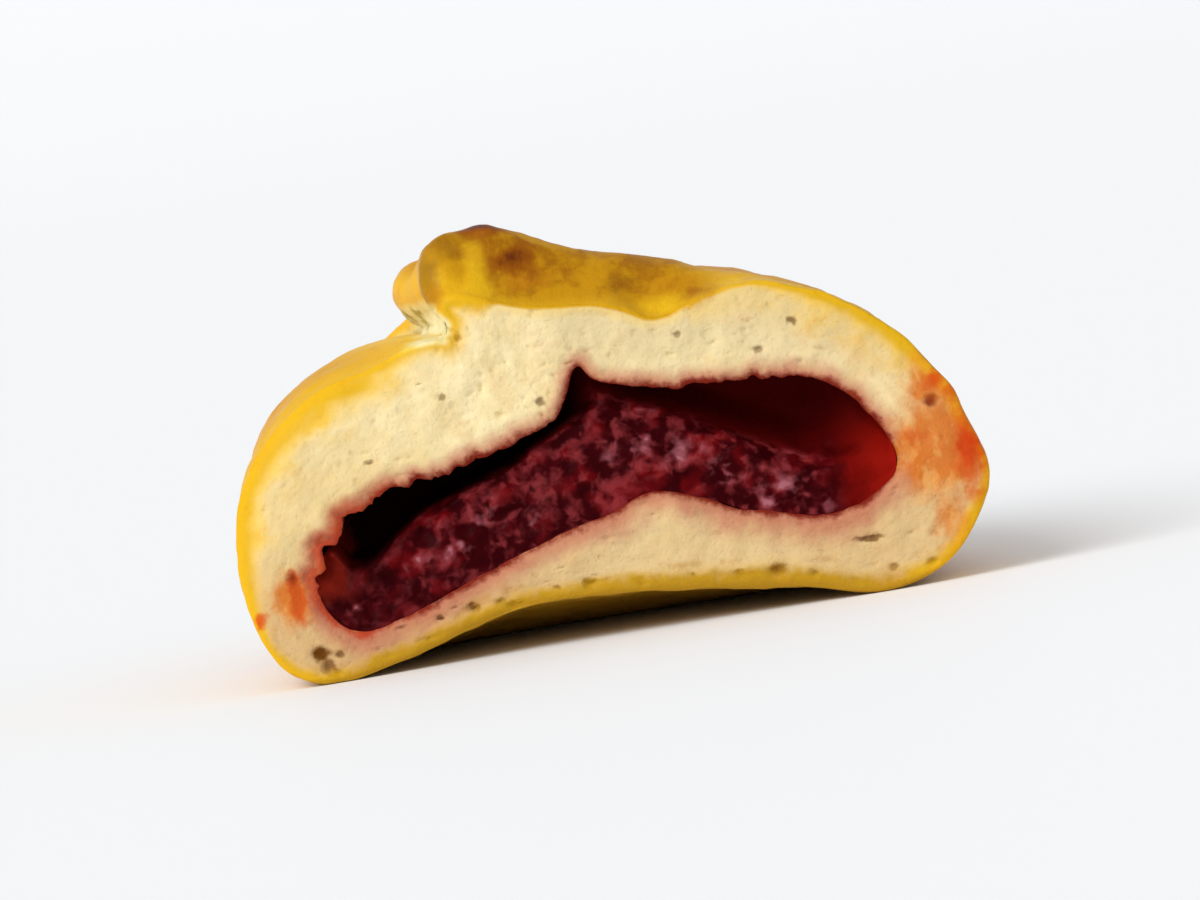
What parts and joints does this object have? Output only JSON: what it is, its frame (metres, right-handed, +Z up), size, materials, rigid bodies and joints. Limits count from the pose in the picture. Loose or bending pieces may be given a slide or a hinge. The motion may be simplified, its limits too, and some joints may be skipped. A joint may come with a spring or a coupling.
{
  "type": "filled bun half",
  "caption": "Cut half of a boat-shaped baked bun with a folded dough lip on top, a pale crumb and a strawberry jam filling that shows at the cut.",
  "frame": {"origin": "centre of the bounding box, at the level of the base", "axes": "+Z up from the surface it rests on, +Y from the cut towards the tip, +X to the right for a viewer who faces the cut"},
  "size_m": [0.0722, 0.0746, 0.0409],
  "materials": {
    "dough": "satin",
    "filling": "gloss"
  },
  "bodies": {
    "root": {"dough": "dough", "filling": "filling"}
  },
  "joints": []
}
